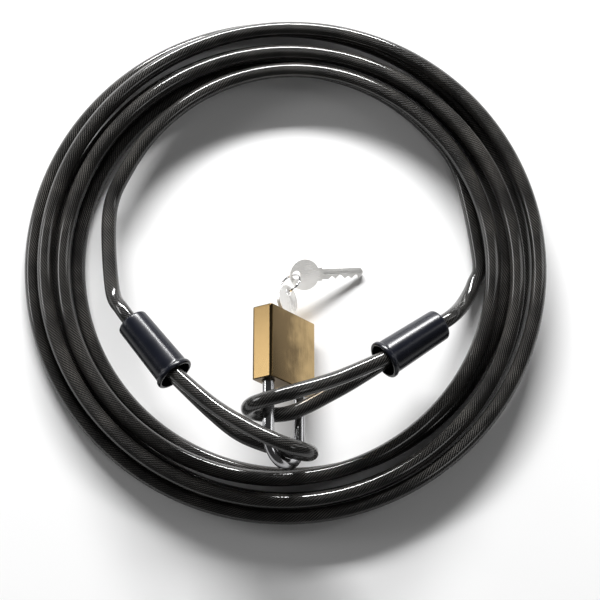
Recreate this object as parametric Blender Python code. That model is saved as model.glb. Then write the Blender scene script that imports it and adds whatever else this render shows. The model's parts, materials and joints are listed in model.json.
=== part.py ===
"""Cable lock: a long vinyl-coated wire cable, coiled, with a looped eye at each end and a small brass
padlock closed through both eyes. Lengths are in millimetres, turned into metres where objects are made.

World frame: +Z up, floor at z = 0, +Y away from the shackle, origin under the middle of padlock and keys.
The places below are first given from the coil's own centre, and COIL_CENTRE moves them to the origin.
"""
import math

import bmesh
import bpy
import numpy as np
from mathutils import Matrix, Vector

MM = 0.001
GAP = 0.3                         # air left between pieces that touch on the real lock
END_GAP = 0.4                     # air left at a cable's square end
COIL_CENTRE = Vector((-12.86, 56.49, 0.0))

# Cable and its coil
CABLE_D = 8.0                     # over the vinyl coat, 5/16 inch
FLAT_CUT = 0.8                    # the underside is worn flat by a tenth of the cable's diameter
COIL_TURNS = 5.47
COIL_START_DEG = 178.0            # the first loop leaves the left sleeve here and runs clockwise
POINTS_A_LOOP = 24
COIL_R_INNER = 105.0
COIL_PITCH = 11.8                 # between neighbouring loops of one layer
REVERSAL_TURN = 2.75              # out over the upper layer until here, then in again underneath
CLIMB_TURNS = 0.5                 # the change of layer
LAYER_Z = (CABLE_D / 2 - FLAT_CUT, CABLE_D * 1.5 - FLAT_CUT + 0.5)
LOWER_LAYER_SHIFT_Y = 2.8         # the two layers aren't quite concentric
START_INSET = 9.0                 # the first loop is drawn in towards its sleeve
START_INSET_TURNS = 0.3
WANDER = 1.1                      # slow in-and-out of a cable coiled by hand
WANDER_RATE = 1.38                # waves a turn

# Padlock
BODY_W, BODY_T, BODY_H = 40.0, 12.5, 40.0
BODY_ROUND = 1.4
LEG_X = 13.75                     # the shackle's legs stand at -LEG_X (toe) and +LEG_X (heel)
SHACKLE_R = 3.15
CLEARANCE = 38.0                  # inside height of the shackle over the body
HEEL_END, TOE_END = 14.0, 31.0    # heights of the two leg ends over the key face
LIFT = 9.5                        # how far the open shackle springs up
NECK_LOW, NECK_HIGH, NECK_R = 21.4, 33.2, 2.1
ROLL_DEG, TILT_DEG = 55.0, 8.0    # how the padlock lies: turned about its long axis, shackle end raised
PADLOCK_X, PADLOCK_Y = -0.4, -31.2

# Lock cylinder
PLUG_X, PLUG_R, PLUG_LENGTH = 2.0, 4.4, 26.0
PLUG_BORE_R = 4.5
PIN_R, CHAMBER_R = 1.4, 1.55
PIN_Z = (5.5, 10.0, 14.5, 19.0)
CHAMBER_END = -15.0
CAM_RADIUS, CAM_PIN_R = 2.97, 1.0
LATCH_Z = (30.6, 36.2)
LATCH_HALF = 3.0
LATCH_TRAVEL = 4.2
CHANNEL_X = (-12.8, 9.4)
CAM_TOP = LATCH_Z[0] + 2.0
GROOVE_Z, GROOVE_R = (23.7, 25.5), 3.3  # round the plug, for its cross pin
PIN_REACH = 4.7
CROSS_PINS = {                    # place across the body, height and radius
    "shackle_pin": (LEG_X + NECK_R + 0.95, NECK_LOW + LIFT + 1.1, 0.8),
    "plug_pin": (PLUG_X + 4.2, 24.6, 0.7),
}
KEY_TURN_DEG = 90.0

# Keys and ring
BLADE_T = 1.9
BLADE_LOW, BLADE_HIGH = -2.2, 3.4  # blade edges either side of the plug's axis
BLADE_LENGTH = 23.0
BOW_R = 8.4
KEY_HOLE_R, KEY_HOLE_Z = 2.3, -14.4
RING_R, RING_WIRE_R = 6.2, 0.6
RING_LEAN_DEG = 25.0              # the ring hangs to one side of the key's own axis

# Sleeves over the crimped joints
SLEEVE_LENGTH = 39.0
SLEEVE_BACK_R, SLEEVE_FRONT_R = 8.5, 10.4
FERRULE_FROM, FERRULE_TO = 8.0, 29.3
STRAND_SPREAD = 4.35              # half the distance of the two strands at a sleeve's mouth

# Each sleeve: middle of its back end and middle of its mouth, from the coil's centre
SLEEVES = {
    "left": (Vector((-80.2, -36.3, 29.0)), Vector((-55.6, -67.4, 36.0))),
    "right": (Vector((81.6, -36.6, 23.5)), Vector((48.0, -60.6, 35.0))),
}

# Where the two eyes run, from the upper strand at the sleeve round the tip to the lower one
EYES = {
    "left": [(-38.0, -83.0, 46.5), (-22.5, -94.0, 52.5), (-9.5, -101.5, 56.3), (2.0, -106.3, 56.2),
             (10.8, -108.0, 50.5), (13.6, -108.0, 43.0), (11.4, -107.4, 35.8), (6.0, -105.8, 31.6),
             (-1.5, -103.7, 30.2), (-10.0, -101.6, 29.4), (-24.0, -95.4, 28.8), (-38.0, -84.2, 29.6)],
    "right": [(32.0, -67.6, 43.6), (18.7, -73.2, 48.4), (5.5, -77.6, 51.4), (-6.5, -80.8, 50.4),
              (-15.6, -82.8, 44.6), (-18.6, -84.0, 36.6), (-15.8, -84.9, 29.0), (-8.0, -85.2, 24.6),
              (2.0, -84.3, 24.2), (12.0, -80.6, 25.2), (22.0, -75.6, 27.0), (34.0, -69.3, 29.6)],
}

# Free ends of the coil, from a loop to the straight stretch behind a sleeve
LEAD_IN = [(-91.6, -16.0, 20.0)]
LEAD_OUT = [(104.6, 4.0, 3.2), (101.6, -10.0, 4.2), (95.2, -22.6, 10.6)]

COLOURS = {
    "vinyl": ((0.030, 0.029, 0.032), 0.28, 0.0),
    "sleeve": ((0.012, 0.013, 0.018), 0.36, 0.0),
    "brass": ((0.62, 0.41, 0.14), 0.27, 1.0),
    "steel": ((0.60, 0.60, 0.61), 0.22, 1.0),
    "spring": ((0.42, 0.43, 0.45), 0.30, 1.0),
    "nickel": ((0.74, 0.73, 0.70), 0.20, 1.0),
    "alloy": ((0.66, 0.67, 0.69), 0.38, 1.0),
}


# ---------------------------------------------------------------- Blender helpers

def material_for(name, finish):
    colour, roughness, metallic = COLOURS[finish]
    material = bpy.data.materials.new(name)
    material.use_nodes = True
    shader = material.node_tree.nodes["Principled BSDF"]
    shader.inputs["Base Color"].default_value = (*colour, 1.0)
    shader.inputs["Roughness"].default_value = roughness
    shader.inputs["Metallic"].default_value = metallic
    return material


def add_mesh(name, mesh, finish, parent, sharp_deg=35.0):
    """Makes the named object of a sub-part, in the frame of its parent."""
    mesh.materials.clear()
    mesh.materials.append(material_for(name, finish))
    mesh.shade_smooth()
    mesh.set_sharp_from_angle(angle=math.radians(sharp_deg))
    piece = bpy.data.objects.new(name, mesh)
    bpy.context.scene.collection.objects.link(piece)
    piece.parent = parent
    return piece


def bmesh_to_mesh(bm, name):
    bmesh.ops.recalc_face_normals(bm, faces=bm.faces)
    mesh = bpy.data.meshes.new(name)
    bm.to_mesh(mesh)
    bm.free()
    return mesh


def turned(name, profile, sides):
    """A turned piece about local Z, from (radius, height) points. Points on the axis close the ends."""
    bm = bmesh.new()
    verts = [bm.verts.new((radius * MM, 0.0, height * MM)) for radius, height in profile]
    closed = profile[0][0] > 0 and profile[-1][0] > 0
    pairs = list(zip(verts, verts[1:] + verts[:1])) if closed else list(zip(verts, verts[1:]))
    edges = [bm.edges.new(pair) for pair in pairs]
    bmesh.ops.spin(bm, geom=verts + edges, cent=(0, 0, 0), axis=(0, 0, 1), angle=math.tau,
                   steps=sides, use_duplicate=False)
    bmesh.ops.remove_doubles(bm, verts=bm.verts, dist=1e-6)
    return bmesh_to_mesh(bm, name)


def extruded(name, outline, low, high, plane="XY"):
    """A prism over an outline. Plane XY rises along Z, plane XZ along Y."""
    bm = bmesh.new()
    place = {"XY": lambda a, b: (a, b, low), "XZ": lambda a, b: (a, low, b)}[plane]
    rise = {"XY": Vector((0, 0, high - low)), "XZ": Vector((0, high - low, 0))}[plane]
    base = bm.faces.new([bm.verts.new(Vector(place(a, b)) * MM) for a, b in outline])
    top = bmesh.ops.extrude_face_region(bm, geom=[base])["geom"]
    moved = [v for v in top if isinstance(v, bmesh.types.BMVert)]
    bmesh.ops.translate(bm, verts=moved, vec=rise * MM)
    return bmesh_to_mesh(bm, name)


def tube_mesh(name, points, radius, bevel_resolution, factors=None, cyclic=False):
    """Sweeps a round section along points, through a curve with a bevel and filled caps."""
    curve = bpy.data.curves.new(name, "CURVE")
    curve.dimensions = "3D"
    curve.twist_mode = "MINIMUM"
    curve.bevel_depth = radius * MM
    curve.bevel_resolution = bevel_resolution
    curve.use_fill_caps = not cyclic
    spline = curve.splines.new("POLY")
    spline.points.add(len(points) - 1)
    spline.use_cyclic_u = cyclic
    for index, (point, place) in enumerate(zip(spline.points, points)):
        point.co = (*(Vector(place) * MM), 1.0)
        point.radius = factors[index] if factors else 1.0
    guide = bpy.data.objects.new(name + "_guide", curve)
    bpy.context.scene.collection.objects.link(guide)
    bpy.context.view_layer.update()
    mesh = bpy.data.meshes.new_from_object(guide.evaluated_get(bpy.context.evaluated_depsgraph_get()))
    bpy.data.objects.remove(guide)
    bpy.data.curves.remove(curve)
    bm = bmesh.new()
    bm.from_mesh(mesh)
    bmesh.ops.remove_doubles(bm, verts=bm.verts, dist=1e-7)
    bpy.data.meshes.remove(mesh)
    return bmesh_to_mesh(bm, name)


def cutter(name, mesh, parent):
    piece = bpy.data.objects.new(name, mesh)
    bpy.context.scene.collection.objects.link(piece)
    piece.parent = parent
    piece.hide_render = True
    piece.display_type = "WIRE"
    return piece


def cut(piece, *cutters):
    for tool in cutters:
        modifier = piece.modifiers.new(tool.name, "BOOLEAN")
        modifier.operation = "DIFFERENCE"
        modifier.solver = "EXACT"
        modifier.object = tool


def moved(mesh, matrix):
    """Moves a mesh by a matrix given in millimetres."""
    matrix = matrix.copy()
    matrix.translation = matrix.translation * MM
    mesh.transform(matrix)
    return mesh


# ---------------------------------------------------------------- shapes

def smooth_route(points, step):
    """Reads a Catmull-Rom curve through the route's own points, at even steps along it."""
    knots = [Vector(p) for p in points]
    ends = [2 * knots[0] - knots[1]] + knots + [2 * knots[-1] - knots[-2]]
    fine = []
    for p0, p1, p2, p3 in zip(ends, ends[1:], ends[2:], ends[3:]):
        for k in range(40):
            t = k / 40
            fine.append(0.5 * (2 * p1 + (p2 - p0) * t + (2 * p0 - 5 * p1 + 4 * p2 - p3) * t * t
                               + (3 * p1 - p0 - 3 * p2 + p3) * t ** 3))
    fine.append(knots[-1])
    fine = np.array([tuple(p) for p in fine])
    run = np.concatenate(([0.0], np.cumsum(np.linalg.norm(np.diff(fine, axis=0), axis=1))))
    at = np.linspace(0.0, run[-1], max(2, round(run[-1] / step) + 1))
    return [Vector(p) for p in np.stack([np.interp(at, run, fine[:, k]) for k in range(3)], axis=1)]


def coil_point(turn):
    """A point of the wound cable: out along the upper layer, then in again along the lower one."""
    angle = math.radians(COIL_START_DEG - 360.0 * turn)
    out = REVERSAL_TURN - math.hypot(turn - REVERSAL_TURN, 0.12) + 0.12
    radius = COIL_R_INNER + COIL_PITCH * out + WANDER * math.sin(math.tau * WANDER_RATE * turn)
    if turn < START_INSET_TURNS:
        radius -= START_INSET * (1 + math.cos(math.pi * turn / START_INSET_TURNS)) / 2
    down = min(1.0, max(0.0, (turn - REVERSAL_TURN) / CLIMB_TURNS + 0.5))
    down = down * down * (3 - 2 * down)
    height = LAYER_Z[1] + (LAYER_Z[0] - LAYER_Z[1]) * down
    shift = LOWER_LAYER_SHIFT_Y * (down - 0.5)
    return Vector((radius * math.cos(angle), radius * math.sin(angle) + shift, height))


def least_gap(points, diameter):
    """The least gap of a tube to itself, over all pairs of its points that aren't near along it."""
    dense = smooth_route(points, 4.0)
    places = np.array([tuple(p) for p in dense])
    least = math.inf
    for index, place in enumerate(places):
        beyond = places[index + 12:]
        if len(beyond):
            least = min(least, float(np.linalg.norm(beyond - place, axis=1).min()))
    return least - diameter


def sleeve_frame(side):
    """Local Z runs from the sleeve's back end to its mouth, local Y is as upright as it can be."""
    back, mouth = SLEEVES[side]
    along = (mouth - back).normalized()
    up = (Vector((0, 0, 1)) - along * along.z).normalized()
    across = up.cross(along)
    frame = Matrix((across, up, along)).transposed().to_4x4()
    frame.translation = back
    return frame


def cable_route():
    """From the left ferrule, round all loops, to the right ferrule."""
    left, right = sleeve_frame("left"), sleeve_frame("right")
    reach = FERRULE_FROM - END_GAP
    first = [left @ Vector((0, 0, z)) for z in (reach, reach - CABLE_D / 2, -CABLE_D)]
    last = [right @ Vector((0, 0, z)) for z in (-CABLE_D, reach - CABLE_D / 2, reach)]
    stations = round(COIL_TURNS * POINTS_A_LOOP)
    loops = [coil_point(k / POINTS_A_LOOP) for k in range(1, stations)]
    lead_in = smooth_route(first + [Vector(p) for p in LEAD_IN] + loops[:2], CABLE_D * 1.5)
    lead_out = smooth_route(loops[-2:] + [Vector(p) for p in LEAD_OUT] + last, CABLE_D * 1.5)
    return lead_in[:-2] + loops[1:-1] + lead_out[2:]


def eye_route(side):
    """Out of the ferrule, over the shackle, round the tip and back into the ferrule."""
    frame = sleeve_frame(side)
    reach = FERRULE_TO + END_GAP
    stations = (reach, reach + CABLE_D / 2, SLEEVE_LENGTH)
    start = [frame @ Vector((0, STRAND_SPREAD, z)) for z in stations]
    end = [frame @ Vector((0, -STRAND_SPREAD, z)) for z in reversed(stations)]
    return smooth_route(start + [Vector(p) for p in EYES[side]] + end, CABLE_D * 0.6)


def rounded_rectangle(width, height, radius, corner_points=5):
    outline = []
    for quarter, (sx, sy) in enumerate(((1, 1), (-1, 1), (-1, -1), (1, -1))):
        for k in range(corner_points):
            angle = math.pi / 2 * (quarter + k / (corner_points - 1))
            outline.append((sx * (width / 2 - radius) + radius * math.cos(angle),
                            sy * (height / 2 - radius) + radius * math.sin(angle)))
    return outline


def helix(radius, length, turns, points_a_turn=9):
    """A compression spring's wire along local Z, with a flat turn at either end."""
    count = round(turns * points_a_turn)
    places = []
    for k in range(count + 1):
        turn = k / points_a_turn
        rise = min(1.0, max(0.0, (turn - 0.75) / (turns - 1.5)))
        places.append((radius * math.cos(math.tau * turn), radius * math.sin(math.tau * turn),
                       length * rise))
    return places


# ---------------------------------------------------------------- cable, eyes, sleeves, ferrules

def make_cable(root):
    route = cable_route()
    gap = least_gap(route, CABLE_D)
    length = sum((b - a).length for a, b in zip(route, route[1:]))
    print(f"cable_coil: {len(route)} points, {length / 1000:.3f} m, least gap to itself {gap:.2f} mm")
    mesh = tube_mesh("cable_coil", route, CABLE_D / 2, 1)
    coil = add_mesh("cable_coil", mesh, "vinyl", root, sharp_deg=70.0)
    floor = extruded("floor_cut", [(-200, -200), (200, -200), (200, 200), (-200, 200)], -20.0, 0.0)
    cut(coil, cutter("floor_cut", floor, root))


def make_eye(side, root):
    route = eye_route(side)
    length = sum((b - a).length for a, b in zip(route, route[1:]))
    print(f"{side}_eye: {len(route)} points, {length:.1f} mm")
    add_mesh(side + "_eye", tube_mesh(side + "_eye", route, CABLE_D / 2, 2), "vinyl", root, 60.0)


def sleeve_profile():
    """Outside from the back end to the mouth, then the inside back again."""
    bore = CABLE_D / 2 + 0.4
    return [(bore, 0.6), (bore + 0.5, 0.0), (SLEEVE_BACK_R - 1.2, 0.0), (SLEEVE_BACK_R - 0.3, 0.4),
            (SLEEVE_BACK_R, 1.3), (SLEEVE_FRONT_R, SLEEVE_LENGTH - 1.2),
            (SLEEVE_FRONT_R - 0.3, SLEEVE_LENGTH - 0.3), (SLEEVE_FRONT_R - 0.8, SLEEVE_LENGTH),
            (SLEEVE_FRONT_R - 1.3, SLEEVE_LENGTH), (8.65, FERRULE_TO + 0.6), (7.5, 5.0), (bore, 3.2)]


def make_sleeve(side, root):
    mesh = moved(turned(side + "_sleeve", sleeve_profile(), 32), sleeve_frame(side))
    add_mesh(side + "_sleeve", mesh, "sleeve", root)


def make_ferrule(side, root):
    """A pressed oval ferrule with three crimp bands, lofted section by section."""
    stations = [(FERRULE_FROM, 0.80), (FERRULE_FROM + 0.8, 1.0)]
    for k in range(3):
        middle = FERRULE_FROM + 4.6 + 6.0 * k
        stations += [(middle - 2.0, 1.0), (middle - 1.2, 0.86), (middle + 1.2, 0.86), (middle + 2.0, 1.0)]
    stations += [(FERRULE_TO - 0.8, 1.0), (FERRULE_TO, 0.80)]
    bm = bmesh.new()
    rings = []
    for height, scale in stations:
        outline = rounded_rectangle(9.0 * scale, 14.4 * (0.7 + 0.3 * scale), 4.4 * scale, 5)
        rings.append([bm.verts.new(Vector((x, y, height)) * MM) for x, y in outline])
    for low, high in zip(rings, rings[1:]):
        for k in range(len(low)):
            after = (k + 1) % len(low)
            bm.faces.new((low[k], low[after], high[after], high[k]))
    bm.faces.new(rings[0])
    bm.faces.new(rings[-1])
    mesh = moved(bmesh_to_mesh(bm, side + "_ferrule"), sleeve_frame(side))
    add_mesh(side + "_ferrule", mesh, "alloy", root)


# ---------------------------------------------------------------- padlock

def padlock_matrix():
    """Local X: toe to heel. Local Y: front face's normal. Local Z: key face to shackle."""
    lying = Matrix(((1, 0, 0), (0, 0, -1), (0, 1, 0))).to_4x4()
    roll = Matrix.Rotation(math.radians(ROLL_DEG), 4, "Y")
    tilt = Matrix.Rotation(math.radians(-TILT_DEG), 4, "X")
    roll_rad, tilt_rad = math.radians(ROLL_DEG), math.radians(TILT_DEG)
    reach = ((BODY_W / 2 - BODY_ROUND) * math.sin(roll_rad)
             + (BODY_T / 2 - BODY_ROUND) * math.cos(roll_rad) + BODY_ROUND)
    height = reach * math.cos(tilt_rad)
    return Matrix.Translation((PADLOCK_X, PADLOCK_Y, height)) @ tilt @ roll @ lying


def bore(name, x, low, high, radius, parent, sides=32):
    mesh = turned(name, [(0, low), (radius, low), (radius, high), (0, high)], sides)
    return cutter(name, moved(mesh, Matrix.Translation((x, 0, 0))), parent)


def make_body(padlock):
    bm = bmesh.new()
    outline = rounded_rectangle(BODY_W, BODY_T, BODY_ROUND)
    inset = rounded_rectangle(BODY_W - 1.0, BODY_T - 1.0, BODY_ROUND - 0.5)
    levels = [(0.0, inset), (0.5, outline), (BODY_H - 0.5, outline), (BODY_H, inset)]
    rings = [[bm.verts.new(Vector((x, y, z)) * MM) for x, y in ring] for z, ring in levels]
    for low, high in zip(rings, rings[1:]):
        for k in range(len(low)):
            after = (k + 1) % len(low)
            bm.faces.new((low[k], low[after], high[after], high[k]))
    bm.faces.new(rings[0])
    bm.faces.new(rings[-1])
    body = add_mesh("padlock_body", bmesh_to_mesh(bm, "padlock_body"), "brass", padlock, 30.0)
    leg_bore = SHACKLE_R + 0.2
    heel = bore("heel_bore", LEG_X, 6.0, BODY_H + 2, leg_bore, padlock)
    toe = bore("toe_bore", -LEG_X, TOE_END - 1.0, BODY_H + 2, leg_bore, padlock)
    cylinder = bore("cylinder_bore", PLUG_X, -2.0, CAM_TOP + 0.3, PLUG_BORE_R, padlock)
    low, high = CHANNEL_X
    outline = rounded_rectangle(high - low, 2 * LATCH_HALF + 0.4, 0.6, 3)
    channel = extruded("latch_channel", outline, LATCH_Z[0] - 0.2, LATCH_Z[1] + 0.2)
    middle = Matrix.Translation(((low + high) / 2, 0, 0))
    cut(body, heel, toe, cylinder, cutter("latch_channel", moved(channel, middle), padlock))
    for name, (x, z, radius) in CROSS_PINS.items():
        pocket = turned(name + "_pocket", rod_profile(radius + 0.15, PIN_REACH + 0.2), 16)
        cut(body, cutter(name + "_pocket", moved(pocket, along_y(x, z)), padlock))
    for number, z in enumerate(PIN_Z, start=1):
        cut(body, chamber_cutter(f"chamber_{number}", CHAMBER_END, PLUG_X - 3.0, z, padlock))


def along_x(x_low, z):
    """Local Z laid along the padlock's X, with its zero at x_low and height z."""
    frame = Matrix(((0, 0, 1), (0, 1, 0), (-1, 0, 0))).to_4x4()
    return Matrix.Translation((x_low, 0, z)) @ frame


def chamber_cutter(name, low, high, z, parent):
    length = high - low
    mesh = turned(name, [(0, 0), (CHAMBER_R, 0), (CHAMBER_R, length), (0, length)], 16)
    return cutter(name, moved(mesh, along_x(low, z)), parent)


def along_y(x, z):
    """Local Z laid along the padlock's Y, at place x and height z."""
    frame = Matrix(((1, 0, 0), (0, 0, -1), (0, 1, 0))).to_4x4()
    return Matrix.Translation((x, 0, z)) @ frame


def rod_profile(radius, half_length):
    return [(0, -half_length), (radius, -half_length), (radius, half_length), (0, half_length)]


def make_shackle(padlock):
    """Toe, bow and heel in one round rod. The heel has a turned neck, the toe a notch for the latch."""
    top = BODY_H + CLEARANCE - LEG_X + SHACKLE_R
    bow = [(-LEG_X * math.cos(a), 0, top + LEG_X * math.sin(a)) for a in np.linspace(0, math.pi, 17)]
    toe = [(-LEG_X, 0, TOE_END), (-LEG_X, 0, TOE_END + 0.7)]
    neck = [(NECK_HIGH + 0.5, 1.0), (NECK_HIGH, NECK_R / SHACKLE_R), (NECK_LOW, NECK_R / SHACKLE_R),
            (NECK_LOW - 0.5, 1.0), (HEEL_END + 0.7, 1.0), (HEEL_END, 0.78)]
    points = toe + bow + [(LEG_X, 0, z) for z, _ in neck]
    factors = [0.78, 1.0] + [1.0] * len(bow) + [factor for _, factor in neck]
    mesh = tube_mesh("shackle", points, SHACKLE_R, 5, factors)
    shackle = add_mesh("shackle", mesh, "steel", padlock)
    inner = -LEG_X + SHACKLE_R
    notch = [(inner - 1.55, LATCH_Z[1] + 0.4), (inner - 1.55, 34.7), (inner, 31.9), (inner + 1, 30.1),
             (inner + 1, LATCH_Z[1] + 0.4)]
    notch = extruded("toe_notch", notch, -5.0, 5.0, "XZ")
    cut(shackle, cutter("toe_notch", notch, padlock))


def make_cross_pins(padlock):
    for name, (x, z, radius) in CROSS_PINS.items():
        pin = turned(name, rod_profile(radius, PIN_REACH), 12)
        add_mesh(name, moved(pin, along_y(x, z)), "steel", padlock)


def make_shackle_spring(padlock):
    wire = helix(2.3, HEEL_END - 6.0 - 2 * GAP - 0.8, 6.0)
    spring = tube_mesh("shackle_spring", wire, 0.4, 0)
    add_mesh("shackle_spring", moved(spring, Matrix.Translation((LEG_X, 0, 6.0 + GAP + 0.4))),
             "spring", padlock)


def make_latch(padlock):
    """A bolt across the body. Its nose stands in the toe's notch, the cylinder's cam draws it back."""
    inner = -LEG_X + SHACKLE_R
    rear = PLUG_X - CAM_RADIUS * math.sin(math.pi / 4) + CAM_PIN_R + 1.6
    low, high = LATCH_Z
    outline = [(inner - 1.2, high), (inner - 1.2, high - 1.0), (inner + 0.4, 31.6), (inner + 0.4, low),
               (rear, low), (rear, high)]
    bolt = extruded("latch_bolt", outline, -LATCH_HALF, LATCH_HALF, "XZ")
    latch = add_mesh("latch_bolt", bolt, "brass", padlock)
    cam_x = PLUG_X - CAM_RADIUS * math.sin(math.pi / 4)
    groove = [(cam_x - CAM_PIN_R - 0.25, low - 1), (cam_x + CAM_PIN_R + 0.25, low - 1),
              (cam_x + CAM_PIN_R + 0.25, low + 2.4), (cam_x - CAM_PIN_R - 0.25, low + 2.4)]
    cut(latch, cutter("cam_groove", extruded("cam_groove", groove, -4.0, 4.0, "XZ"), padlock))
    length = CHANNEL_X[1] - rear - 2 * GAP - 0.8
    spring = tube_mesh("latch_spring", helix(1.8, length, 5.0), 0.35, 0)
    place = along_x(rear + GAP + 0.4, (low + high) / 2)
    add_mesh("latch_spring", moved(spring, place), "spring", padlock)


def make_plug(padlock):
    """The turning cylinder: keyway, pin holes and an off-centre cam pin at its inner end."""
    axis = Matrix.Translation((PLUG_X, 0, 0))
    low, high = GROOVE_Z
    profile = [(0, GAP), (PLUG_R - 0.3, GAP), (PLUG_R, GAP + 0.3), (PLUG_R, low), (GROOVE_R, low),
               (GROOVE_R, high), (PLUG_R, high), (PLUG_R, PLUG_LENGTH), (0, PLUG_LENGTH)]
    plug = add_mesh("lock_plug", moved(turned("lock_plug", profile, 32), axis), "brass", padlock, 30.0)
    offset = CAM_RADIUS * math.sin(math.pi / 4)
    base = PLUG_LENGTH - 0.3
    cam = turned("cam_pin", [(0, base), (CAM_PIN_R, base), (CAM_PIN_R, CAM_TOP), (0, CAM_TOP)], 16)
    cam = cutter("cam_pin", moved(cam, Matrix.Translation((PLUG_X - offset, -offset, 0))), padlock)
    join = plug.modifiers.new("cam_pin", "BOOLEAN")
    join.operation = "UNION"
    join.solver = "EXACT"
    join.object = cam
    keyway = rounded_rectangle(BLADE_HIGH - BLADE_LOW + 0.6, BLADE_T + 0.4, 0.3, 2)
    keyway = extruded("keyway", keyway, -1.0, BLADE_LENGTH + 0.4)
    middle = PLUG_X + (BLADE_HIGH + BLADE_LOW) / 2
    cut(plug, cutter("keyway", moved(keyway, Matrix.Translation((middle, 0, 0))), padlock))
    for number, z in enumerate(PIN_Z, start=1):
        cut(plug, chamber_cutter(f"plug_hole_{number}", PLUG_X - 6.0, PLUG_X + BLADE_LOW + 0.2, z, padlock))


def make_pins(padlock):
    """One stack for each chamber: key pin in the cylinder, driver pin and spring in the body."""
    for number, z in enumerate(PIN_Z, start=1):
        outer, tip = PLUG_X - 4.1, PLUG_X + BLADE_LOW - 0.25
        length = tip - outer
        key_pin = turned(f"key_pin_{number}", [(0, 0), (PIN_R, 0), (PIN_R, length - 0.8),
                                               (0.5, length), (0, length)], 12)
        add_mesh(f"key_pin_{number}", moved(key_pin, along_x(outer, z)), "nickel", padlock)
        driver_from = PLUG_X - PLUG_BORE_R - 0.1
        driver = turned(f"driver_pin_{number}", [(0, -5.0), (PIN_R - 0.2, -5.0), (PIN_R, -4.8),
                                                 (PIN_R, -0.2), (PIN_R - 0.2, 0), (0, 0)], 12)
        add_mesh(f"driver_pin_{number}", moved(driver, along_x(driver_from, z)), "nickel", padlock)
        spring_from = CHAMBER_END + GAP + 0.2
        length = driver_from - 5.0 - GAP - 0.2 - spring_from
        spring = tube_mesh(f"pin_spring_{number}", helix(1.1, length, 4.5, 7), 0.2, 0)
        add_mesh(f"pin_spring_{number}", moved(spring, along_x(spring_from, z)), "spring", padlock)


# ---------------------------------------------------------------- keys and ring

def key_outline():
    """Bow, shoulder and bitted blade in the key's plane, from its axis: x across, z along."""
    middle = (BLADE_LOW + BLADE_HIGH) / 2
    bow_z = -BOW_R - 1.6
    start = math.asin(0.42)
    bow = []
    for angle in np.linspace(math.pi / 2 - start, math.pi / 2 - start - math.tau + 2 * start, 22):
        flatten = 0.93 if math.sin(angle) < 0 else 1.0
        bow.append((middle + BOW_R * math.cos(angle), bow_z + BOW_R * flatten * math.sin(angle)))
    blade = [(BLADE_LOW - 0.9, -1.2), (BLADE_LOW - 0.9, 0.0), (BLADE_LOW, 0.0)]
    for z, depth in zip(PIN_Z, (1.3, 2.0, 1.0, 1.7)):
        blade += [(BLADE_LOW, z - 0.7 - depth), (BLADE_LOW + depth, z - 0.5),
                  (BLADE_LOW + depth, z + 0.5), (BLADE_LOW, min(z + 0.7 + depth, BLADE_LENGTH - 2.4))]
    blade += [(BLADE_LOW, BLADE_LENGTH - 2.2), (middle, BLADE_LENGTH), (middle + 0.6, BLADE_LENGTH),
              (BLADE_HIGH, BLADE_LENGTH - 1.6), (BLADE_HIGH, 0.0), (BLADE_HIGH + 0.9, 0.0),
              (BLADE_HIGH + 0.9, -1.2)]
    return bow, blade


def make_key(name, parent):
    bow, blade = key_outline()
    outline = bow + blade
    mesh = extruded(name, outline, -BLADE_T / 2, BLADE_T / 2, "XZ")
    key = add_mesh(name, mesh, "nickel", parent, 30.0)
    middle = (BLADE_LOW + BLADE_HIGH) / 2
    hole = turned(name + "_hole", rod_profile(KEY_HOLE_R, 3.0), 20)
    cut(key, cutter(name + "_hole", moved(hole, along_y(middle, KEY_HOLE_Z)), parent))


def ring_frame(padlock_world):
    """The ring's middle, and its plane: through key 1's hole, along the key's normal, leaning down."""
    middle = PLUG_X + (BLADE_LOW + BLADE_HIGH) / 2
    hole = padlock_world @ Vector((middle, 0, KEY_HOLE_Z))
    turn = padlock_world.to_3x3()
    lean = math.radians(RING_LEAN_DEG)
    away = turn @ Vector((math.sin(lean), 0, -math.cos(lean)))
    normal = turn @ Vector((0, 1, 0))
    return hole, away, normal


def make_ring(root, padlock_world):
    hole, away, normal = ring_frame(padlock_world)
    centre = hole + away * RING_R
    points = [centre + RING_R * (math.cos(a) * away + math.sin(a) * normal)
              for a in np.arange(24) * math.tau / 24]
    add_mesh("key_ring", tube_mesh("key_ring", points, RING_WIRE_R, 2, cyclic=True), "steel", root)


# Key 2 hangs on the ring: where its hole is along the ring, and which way its blade and edge point
KEY_2_RING_DEG = 22.0
KEY_2_BLADE = Vector((0.95, 0.10, -0.25))
KEY_2_EDGE = Vector((0.10, 0.93, 0.33))


def key_2_matrix(padlock_world):
    hole, away, normal = ring_frame(padlock_world)
    at = math.radians(KEY_2_RING_DEG)
    place = hole + away * RING_R + RING_R * (math.cos(at) * away + math.sin(at) * normal)
    along = KEY_2_BLADE.normalized()
    face = along.cross(KEY_2_EDGE).normalized()
    edge = face.cross(along)
    turn = Matrix((edge, face, along)).transposed().to_4x4()
    middle = (BLADE_LOW + BLADE_HIGH) / 2
    return Matrix.Translation(place) @ turn @ Matrix.Translation((-middle, 0, -KEY_HOLE_Z))


def empty(name, matrix, parent=None):
    frame = bpy.data.objects.new(name, None)
    bpy.context.scene.collection.objects.link(frame)
    frame.parent = parent
    matrix = matrix.copy()
    matrix.translation = matrix.translation * MM
    frame.matrix_local = matrix
    return frame


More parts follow.
